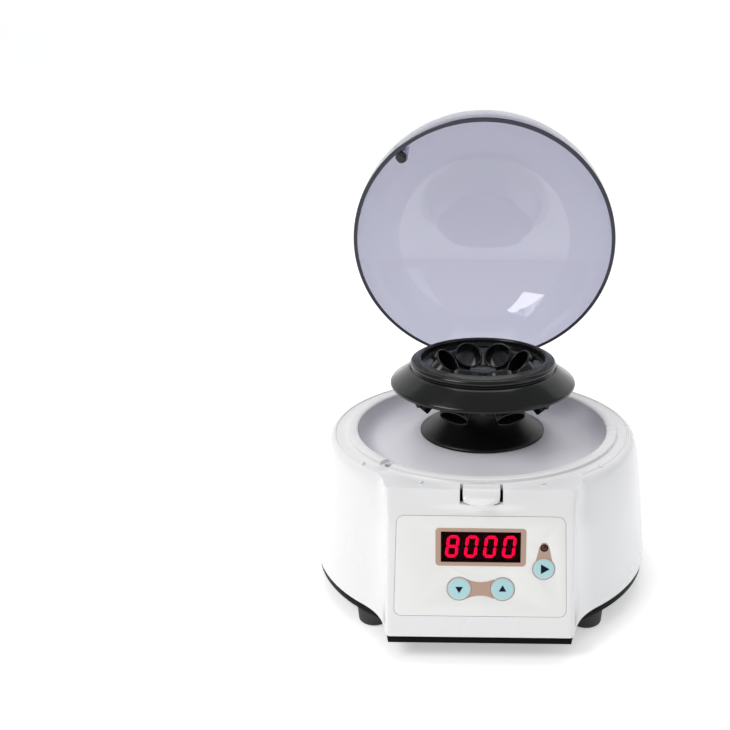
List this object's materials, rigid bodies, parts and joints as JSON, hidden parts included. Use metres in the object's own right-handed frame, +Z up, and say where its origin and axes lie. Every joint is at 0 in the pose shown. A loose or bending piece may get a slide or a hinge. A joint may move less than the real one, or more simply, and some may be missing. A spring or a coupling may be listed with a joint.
{
  "type": "mini centrifuge",
  "caption": "Benchtop mini centrifuge with a hinged clear dome lid, tilted-place tube rotor, and a sloping console with a speed display and keys.",
  "frame": {"origin": "on the rotor axis at the level of the bench, under the feet", "axes": "+Z up along the rotor axis, the console faces -Y, +X to the right of someone facing the console"},
  "size_m": [0.1572, 0.1947, 0.2048],
  "materials": {
    "white_abs": "glossy white moulded plastic",
    "deck_grey": "smooth pale lavender grey plastic",
    "black_abs": "black moulded plastic",
    "rubber": "soft black rubber",
    "rotor_black": "glossy black moulded plastic",
    "clear_violet": "clear violet-tinted acrylic",
    "overlay": "fine-textured membrane film",
    "tan_print": "printed film",
    "cyan_key": "embossed membrane film",
    "mark_ink": "printed ink",
    "window_red": "dark red display filter",
    "segment_red": "lit red display segment",
    "lamp_red": "dark red lens",
    "steel": "plated steel",
    "motor_steel": "drawn steel can",
    "brass": "turned brass",
    "copper": "copper winding",
    "board_green": "circuit board",
    "part_black": "black electronic part",
    "magnet": "ferrite",
    "capacitor_blue": "sleeved can",
    "header_cream": "nylon",
    "lead_red": "insulated lead",
    "aluminium": "extruded heat sink",
    "plunger_red": "acetal"
  },
  "bodies": {
    "case": {"upper_housing": "white_abs", "bowl_deck": "deck_grey", "base_tray": "black_abs", "rubber_feet": "rubber", "foot_screws": "steel", "case_screws": "steel", "hinge_pin": "steel", "motor_shroud": "black_abs", "shroud_screws": "steel", "motor_plate": "steel", "rubber_mounts": "rubber", "mount_screws": "steel", "motor_can": "motor_steel", "motor_end_cap": "part_black", "motor_terminals": "brass", "motor_bearings": "brass", "motor_magnets": "magnet", "motor_screws": "steel", "keypad_overlay": "overlay", "display_frame": "tan_print", "display_window": "window_red", "display_digits": "segment_red", "display_module": "part_black", "display_board": "board_green", "key_switches": "part_black", "status_lamp": "lamp_red", "display_screws": "steel", "main_board": "board_green", "capacitors": "capacitor_blue", "power_transistor": "aluminium", "wire_headers": "header_cream", "board_screws": "steel", "lid_switch": "part_black", "power_inlet": "part_black", "inlet_pin": "brass", "rocker_switch": "part_black", "wiring": "lead_red"},
    "lid": {"dome_lid": "clear_violet", "lid_striker": "rubber"},
    "rotor": {"rotor_body": "rotor_black", "rotor_nut": "rotor_black", "drive_hub": "brass", "motor_shaft": "steel", "armature": "copper"},
    "latch": {"latch_tongue": "white_abs"},
    "start_button": {"start_key": "cyan_key", "start_mark": "mark_ink"},
    "down_button": {"down_key": "cyan_key", "down_mark": "mark_ink"},
    "up_button": {"up_key": "cyan_key", "up_mark": "mark_ink"},
    "rocker": {"power_rocker": "part_black"},
    "plunger": {"switch_plunger": "plunger_red"}
  },
  "joints": [
    {"name": "lid_hinge", "type": "hinge", "parent": "case", "child": "lid", "pos_m": [0, 0.076, 0.067], "axis": [1, 0, 0], "range_deg": [0, 73]},
    {"name": "rotor_spin", "type": "hinge", "parent": "case", "child": "rotor", "pos_m": [0, 0, 0.09], "axis": [0, 0, 1], "continuous": true},
    {"name": "latch_press", "type": "hinge", "parent": "case", "child": "latch", "pos_m": [0, -0.0621, 0.07], "axis": [1, 0, 0], "range_deg": [0, 2], "stiffness_Nm_per_rad": 0.6},
    {"name": "start_press", "type": "slide", "parent": "case", "child": "start_button", "axis": [0, 0.9755, -0.2198], "range_m": [0, 0.0004], "stiffness_N_per_m": 900},
    {"name": "down_press", "type": "slide", "parent": "case", "child": "down_button", "axis": [0, 0.9755, -0.2198], "range_m": [0, 0.0004], "stiffness_N_per_m": 900},
    {"name": "up_press", "type": "slide", "parent": "case", "child": "up_button", "axis": [0, 0.9755, -0.2198], "range_m": [0, 0.0004], "stiffness_N_per_m": 900},
    {"name": "rocker_tilt", "type": "hinge", "parent": "case", "child": "rocker", "pos_m": [-0.03803, 0.05638, 0.029], "axis": [-0.829, -0.5592, 0], "range_deg": [-18, 0]},
    {"name": "plunger_press", "type": "slide", "parent": "case", "child": "plunger", "axis": [0, 0, -1], "range_m": [0, 0.0008], "stiffness_N_per_m": 300}
  ]
}
